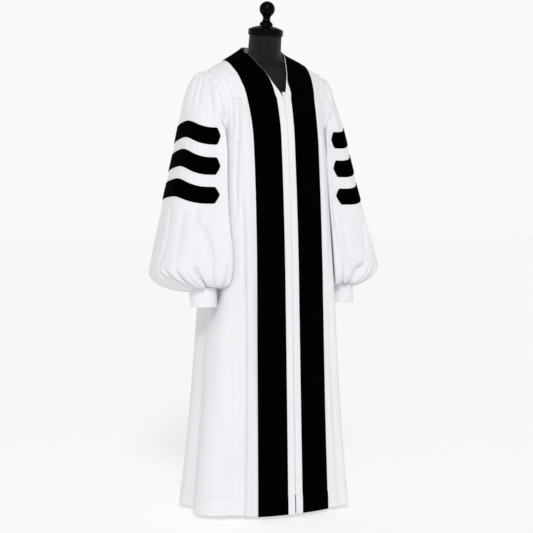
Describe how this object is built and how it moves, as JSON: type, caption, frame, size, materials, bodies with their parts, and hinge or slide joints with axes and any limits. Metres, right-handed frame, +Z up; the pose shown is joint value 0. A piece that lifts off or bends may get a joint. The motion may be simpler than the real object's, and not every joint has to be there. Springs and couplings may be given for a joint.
{
  "type": "clergy robe on a dress form",
  "caption": "White full-length clergy robe with black velvet front panels and sleeve bars, gathered puffed sleeves and cuffs, on a limbless dress form with a round base.",
  "frame": {"origin": "centre of the stand's base on the floor", "axes": "+Z up, the robe's front faces -Y, the wearer's right arm is on the -X side"},
  "size_m": [0.7912, 0.4243, 1.6563],
  "materials": {
    "cloth": "matte",
    "velvet": "matte pile",
    "form_cloth": "matte",
    "gloss": "gloss",
    "zip": "gloss"
  },
  "bodies": {
    "robe": {"front_right": "cloth", "front_left": "cloth", "back": "cloth", "yoke_front_right": "cloth", "yoke_front_left": "cloth", "yoke_back": "cloth", "sleeve_right_front": "cloth", "sleeve_right_inner": "cloth", "sleeve_right_back": "cloth", "sleeve_left_front": "cloth", "sleeve_left_inner": "cloth", "sleeve_left_back": "cloth", "cuff_right": "cloth", "cuff_left": "cloth", "velvet_right": "velvet", "velvet_left": "velvet", "bar_right_1": "velvet", "bar_right_2": "velvet", "bar_right_3": "velvet", "bar_left_1": "velvet", "bar_left_2": "velvet", "bar_left_3": "velvet", "zip_tape": "cloth", "zip_slider": "zip", "form_torso": "form_cloth", "form_cap": "gloss", "form_finial": "gloss", "form_pole": "gloss", "form_base": "gloss"},
    "pull": {"zip_pull": "zip"}
  },
  "joints": [
    {"name": "pull_hinge", "type": "hinge", "parent": "robe", "child": "pull", "pos_m": [0, -0.125, 1.346], "axis": [-1, 0, 0], "range_deg": [0, 165]}
  ]
}
